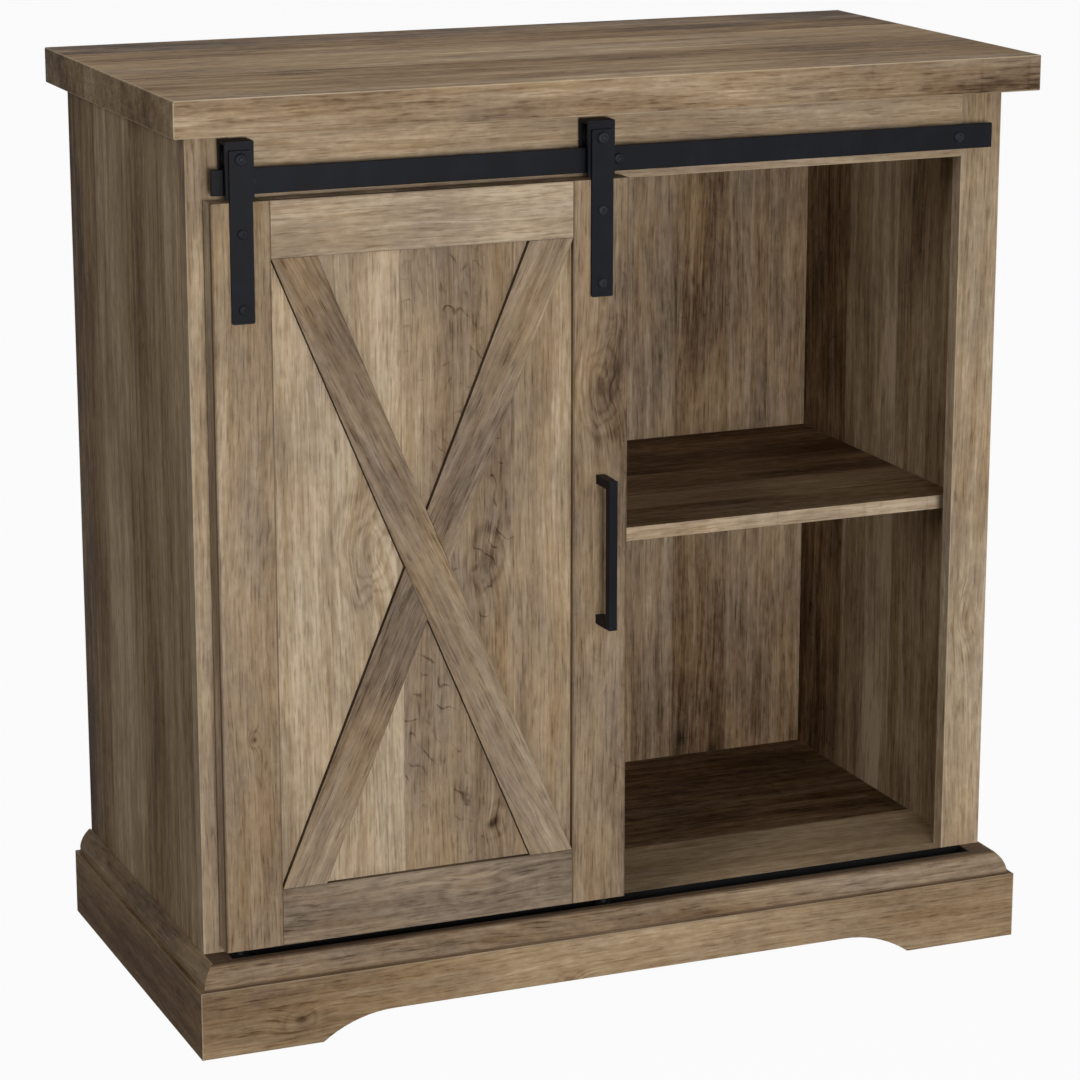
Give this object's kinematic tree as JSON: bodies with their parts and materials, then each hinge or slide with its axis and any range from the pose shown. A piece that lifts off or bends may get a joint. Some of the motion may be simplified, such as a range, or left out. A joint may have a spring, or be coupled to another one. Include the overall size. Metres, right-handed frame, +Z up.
{
  "type": "media cabinet",
  "caption": "Free-standing oak media cabinet with an arched plinth, open shelf bay and an X-braced barn door sliding on a black flat track.",
  "frame": {"origin": "on the floor, under the middle of the cabinet's overall box, which includes the door's pull", "axes": "+X to the right when facing the door, +Y towards the back, +Z up"},
  "size_m": [0.8128, 0.4186, 0.8382],
  "materials": {
    "oak_horizontal": "satin printed rustic oak, grain along X",
    "oak_vertical": "satin printed rustic oak, grain upright",
    "oak_depth": "satin printed rustic oak, grain front to back",
    "oak_brace": "satin printed rustic oak, grain along the brace",
    "raw_wood": "bare softwood",
    "black_steel": "satin black powder coat",
    "black_plastic": "matte black moulding",
    "zinc": "zinc plated"
  },
  "bodies": {
    "cabinet": {"top_panel": "oak_horizontal", "top_dowels": "raw_wood", "side_left": "oak_vertical", "side_right": "oak_vertical", "stile_left": "oak_vertical", "stile_right": "oak_vertical", "header_rail": "oak_horizontal", "divider": "oak_vertical", "floor_panel": "oak_horizontal", "back_panel": "oak_vertical", "back_screws": "zinc", "shelf_left": "oak_horizontal", "shelf_right": "oak_horizontal", "shelf_pins": "zinc", "skirt_front": "oak_horizontal", "skirt_left": "oak_depth", "skirt_right": "oak_depth", "plinth_back_rail": "oak_horizontal", "cap_front": "oak_horizontal", "cap_left": "oak_depth", "cap_right": "oak_depth", "bearer_left": "raw_wood", "bearer_right": "raw_wood", "corner_blocks": "raw_wood", "floor_cleat_front": "raw_wood", "floor_cleat_back": "raw_wood", "centre_foot": "raw_wood", "glides": "black_plastic", "guide_channel": "black_plastic", "track_bar": "black_steel", "track_spacers": "black_steel", "track_bolts": "black_steel"},
    "door": {"door_panel": "oak_vertical", "door_stile_left": "oak_vertical", "door_stile_right": "oak_vertical", "door_rail_top": "oak_horizontal", "door_rail_bottom": "oak_horizontal", "brace_long": "oak_brace", "brace_half_upper": "oak_brace", "brace_half_lower": "oak_brace", "strap_left": "black_steel", "strap_right": "black_steel", "carrier_left": "black_plastic", "carrier_right": "black_plastic", "axle_bolts": "black_steel", "strap_screws": "black_steel", "guide_pins": "black_plastic", "pull_bar": "black_steel", "pull_posts": "black_steel", "pull_screws": "zinc"},
    "roller_left": {"roller_left": "black_plastic"},
    "roller_right": {"roller_right": "black_plastic"}
  },
  "joints": [
    {"name": "door_slide", "type": "slide", "parent": "cabinet", "child": "door", "axis": [1, 0, 0], "range_m": [0, 0.3662]},
    {"name": "roller_left_spin", "type": "hinge", "parent": "door", "child": "roller_left", "pos_m": [-0.3466, -0.169, 0.7858], "axis": [0, 1, 0], "continuous": true},
    {"name": "roller_right_spin", "type": "hinge", "parent": "door", "child": "roller_right", "pos_m": [-0.0196, -0.169, 0.7858], "axis": [0, 1, 0], "continuous": true}
  ],
  "couplings": [
    {"joint": "roller_left_spin", "follows": "door_slide", "rad_per_m": 111.11},
    {"joint": "roller_right_spin", "follows": "door_slide", "rad_per_m": 111.11}
  ]
}
